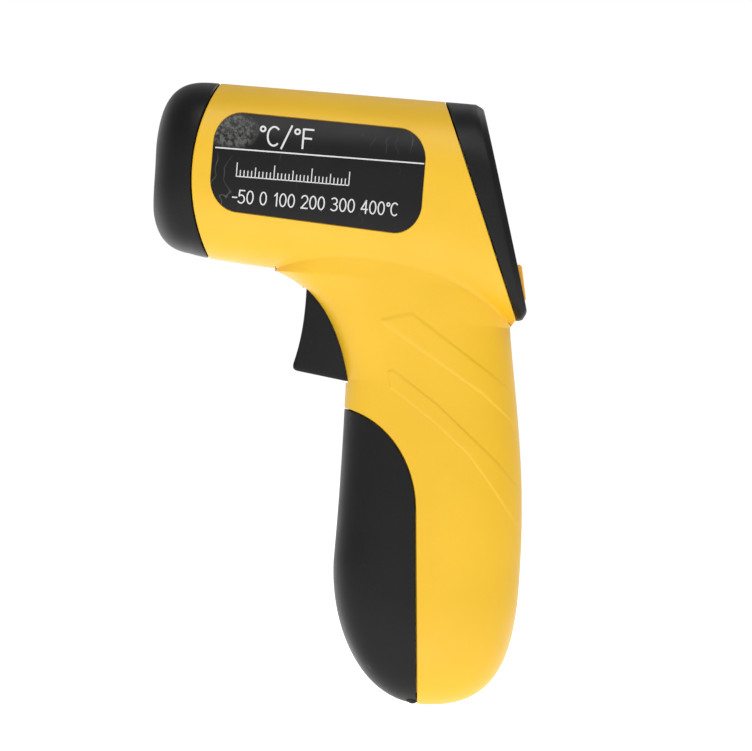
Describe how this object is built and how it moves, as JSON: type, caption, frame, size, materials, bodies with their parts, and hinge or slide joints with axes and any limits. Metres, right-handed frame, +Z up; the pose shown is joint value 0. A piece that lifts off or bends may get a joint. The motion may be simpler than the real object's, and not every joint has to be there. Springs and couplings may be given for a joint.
{
  "type": "infrared thermometer",
  "caption": "Pistol-grip infrared thermometer with a squeezed trigger, hinged battery door, rear display and keys, and a sensor and laser pointer in its nose.",
  "frame": {"origin": "middle of the pistol grip, on the plane where the two shells meet", "axes": "-X along the line of sight out of the nose, +X towards the display, +Z up along the grip, +Y towards the right-hand shell"},
  "size_m": [0.0992, 0.042, 0.1504],
  "materials": {
    "yellow_shell": "satin, fine texture",
    "black_plastic": "satin, fine texture",
    "yellow_key": "matt",
    "label_film": "printed film",
    "window": "clear",
    "lcd": "satin",
    "laser_glass": "clear",
    "white_plastic": "smooth",
    "lens_film": "moulded rings",
    "tube_black": "matt",
    "strip": "matt",
    "board": "solder mask",
    "part_black": "moulded",
    "steel": "bright",
    "brass": "turned",
    "cell": "printed sleeve",
    "wire_white": "matt",
    "wire_red": "matt",
    "wire_black": "matt"
  },
  "bodies": {
    "case": {"left_shell": "yellow_shell", "right_shell": "yellow_shell", "nose_cap": "black_plastic", "rear_bezel": "black_plastic", "display_window": "window", "lcd_frame": "white_plastic", "lcd_glass": "lcd", "light_guide": "white_plastic", "contact_strips": "strip", "main_board": "board", "board_parts": "part_black", "board_screws": "steel", "key_switches": "part_black", "buzzer": "part_black", "side_label": "label_film", "sensor_tube": "tube_black", "lens_ring": "tube_black", "infrared_lens": "lens_film", "thermopile": "steel", "sensor_board": "board", "laser_tube": "brass", "laser_lens": "laser_glass", "laser_board": "board", "trigger_spring": "steel", "trigger_switch": "part_black", "trigger_board": "board", "hinge_pin": "steel", "battery_tray": "black_plastic", "battery_cells": "cell", "battery_springs": "steel", "battery_contacts": "steel", "sensor_wires": "wire_white", "laser_wires": "wire_red", "battery_wires": "wire_red", "switch_wires": "wire_black", "case_screws": "steel"},
    "trigger_body": {"trigger": "black_plastic"},
    "plunger_body": {"switch_plunger": "white_plastic"},
    "door_body": {"battery_door": "black_plastic"},
    "unit_key_body": {"key_unit": "yellow_key", "plunger_unit": "white_plastic"},
    "light_key_body": {"key_light": "yellow_key", "plunger_light": "white_plastic"},
    "laser_key_body": {"key_laser": "yellow_key", "plunger_laser": "white_plastic"}
  },
  "joints": [
    {"name": "trigger_pull", "type": "hinge", "parent": "case", "child": "trigger_body", "pos_m": [-0.031, 0, 0.0715], "axis": [0, -1, 0], "range_deg": [0, 6], "stiffness_Nm_per_rad": 1, "deforming": ["trigger_spring"]},
    {"name": "switch_press", "type": "slide", "parent": "case", "child": "plunger_body", "axis": [1, 0, 0], "range_m": [0, 0.00135]},
    {"name": "battery_door_swing", "type": "hinge", "parent": "case", "child": "door_body", "pos_m": [-0.0015, 0, -0.0342], "axis": [0, -1, 0], "range_deg": [0, 80]},
    {"name": "key_unit_press", "type": "slide", "parent": "case", "child": "unit_key_body", "axis": [-0.9578, 0, -0.2875], "range_m": [0, 0.0004], "stiffness_N_per_m": 1500},
    {"name": "key_light_press", "type": "slide", "parent": "case", "child": "light_key_body", "axis": [-0.9578, 0, -0.2875], "range_m": [0, 0.0004], "stiffness_N_per_m": 1500},
    {"name": "key_laser_press", "type": "slide", "parent": "case", "child": "laser_key_body", "axis": [-0.9578, 0, -0.2875], "range_m": [0, 0.0004], "stiffness_N_per_m": 1500}
  ],
  "couplings": [
    {"joint": "switch_press", "follows": "trigger_pull", "m_per_rad": 0.0128}
  ]
}
